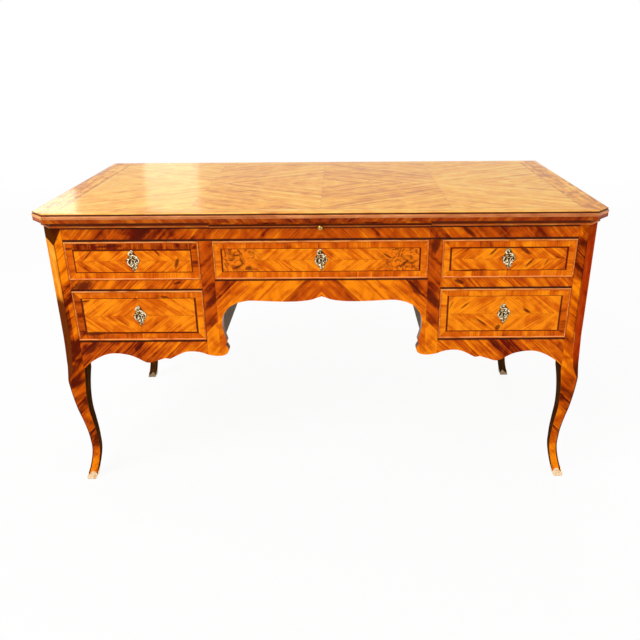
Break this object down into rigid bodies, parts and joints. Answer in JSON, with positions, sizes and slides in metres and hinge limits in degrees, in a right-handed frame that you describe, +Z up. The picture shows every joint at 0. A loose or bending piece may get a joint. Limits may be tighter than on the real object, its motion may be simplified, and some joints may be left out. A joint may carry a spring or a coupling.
{
  "type": "writing desk",
  "caption": "Flat-topped writing desk on cabriole legs, with a bank of drawers on each side of a kneehole, a centre drawer and a pull-out writing slide.",
  "frame": {"origin": "on the floor below the middle of the top", "axes": "+X to the right as seen from the front, -Y out of the drawer fronts, +Z up"},
  "size_m": [1.4, 0.7, 0.774],
  "materials": {
    "top_veneer": "French-polished honey-coloured veneer",
    "case_veneer": "French-polished orange-brown veneer laid in slanting strips",
    "edge_moulding": "polished solid wood",
    "oak": "bare aged oak",
    "gilt_brass": "worn pale gilding",
    "iron": "dull filed iron"
  },
  "bodies": {
    "carcass": {"top_board": "top_veneer", "top_moulding": "edge_moulding", "neck_moulding": "edge_moulding", "leg_front_left": "case_veneer", "leg_front_right": "case_veneer", "leg_back_left": "case_veneer", "leg_back_right": "case_veneer", "toe_caps": "gilt_brass", "frieze_rail": "case_veneer", "stile_left": "case_veneer", "stile_right": "case_veneer", "middle_rails": "case_veneer", "centre_apron": "case_veneer", "knee_brackets": "case_veneer", "apron_left": "case_veneer", "apron_right": "case_veneer", "side_panel_left": "case_veneer", "side_panel_right": "case_veneer", "back_board_left": "case_veneer", "back_board_centre": "case_veneer", "back_board_right": "case_veneer", "back_beads": "edge_moulding", "knee_wall_left": "oak", "knee_wall_right": "oak", "dust_boards": "oak", "drawer_runners": "oak", "slide_bearers": "oak", "glue_blocks": "oak"},
    "writing_slide": {"writing_slide": "case_veneer", "slide_knob": "gilt_brass"},
    "upper_left_drawer": {"upper_left_front": "case_veneer", "upper_left_bead": "edge_moulding", "upper_left_box": "oak", "upper_left_lock": "iron", "upper_left_escutcheon": "gilt_brass"},
    "upper_left_bolt": {"upper_left_bolt": "iron"},
    "lower_left_drawer": {"lower_left_front": "case_veneer", "lower_left_bead": "edge_moulding", "lower_left_box": "oak", "lower_left_lock": "iron", "lower_left_escutcheon": "gilt_brass"},
    "lower_left_bolt": {"lower_left_bolt": "iron"},
    "centre_drawer": {"centre_front": "case_veneer", "centre_bead": "edge_moulding", "centre_box": "oak", "centre_lock": "iron", "centre_escutcheon": "gilt_brass"},
    "centre_bolt": {"centre_bolt": "iron"},
    "upper_right_drawer": {"upper_right_front": "case_veneer", "upper_right_bead": "edge_moulding", "upper_right_box": "oak", "upper_right_lock": "iron", "upper_right_escutcheon": "gilt_brass"},
    "upper_right_bolt": {"upper_right_bolt": "iron"},
    "lower_right_drawer": {"lower_right_front": "case_veneer", "lower_right_bead": "edge_moulding", "lower_right_box": "oak", "lower_right_lock": "iron", "lower_right_escutcheon": "gilt_brass"},
    "lower_right_bolt": {"lower_right_bolt": "iron"}
  },
  "joints": [
    {"name": "writing_slide_pull", "type": "slide", "parent": "carcass", "child": "writing_slide", "axis": [0, -1, 0], "range_m": [0, 0.28]},
    {"name": "upper_left_drawer_pull", "type": "slide", "parent": "carcass", "child": "upper_left_drawer", "axis": [0, -1, 0], "range_m": [0, 0.36]},
    {"name": "upper_left_bolt_lift", "type": "slide", "parent": "upper_left_drawer", "child": "upper_left_bolt", "axis": [0, 0, 1], "range_m": [0, 0.008]},
    {"name": "lower_left_drawer_pull", "type": "slide", "parent": "carcass", "child": "lower_left_drawer", "axis": [0, -1, 0], "range_m": [0, 0.36]},
    {"name": "lower_left_bolt_lift", "type": "slide", "parent": "lower_left_drawer", "child": "lower_left_bolt", "axis": [0, 0, 1], "range_m": [0, 0.008]},
    {"name": "centre_drawer_pull", "type": "slide", "parent": "carcass", "child": "centre_drawer", "axis": [0, -1, 0], "range_m": [0, 0.36]},
    {"name": "centre_bolt_lift", "type": "slide", "parent": "centre_drawer", "child": "centre_bolt", "axis": [0, 0, 1], "range_m": [0, 0.008]},
    {"name": "upper_right_drawer_pull", "type": "slide", "parent": "carcass", "child": "upper_right_drawer", "axis": [0, -1, 0], "range_m": [0, 0.36]},
    {"name": "upper_right_bolt_lift", "type": "slide", "parent": "upper_right_drawer", "child": "upper_right_bolt", "axis": [0, 0, 1], "range_m": [0, 0.008]},
    {"name": "lower_right_drawer_pull", "type": "slide", "parent": "carcass", "child": "lower_right_drawer", "axis": [0, -1, 0], "range_m": [0, 0.36]},
    {"name": "lower_right_bolt_lift", "type": "slide", "parent": "lower_right_drawer", "child": "lower_right_bolt", "axis": [0, 0, 1], "range_m": [0, 0.008]}
  ]
}
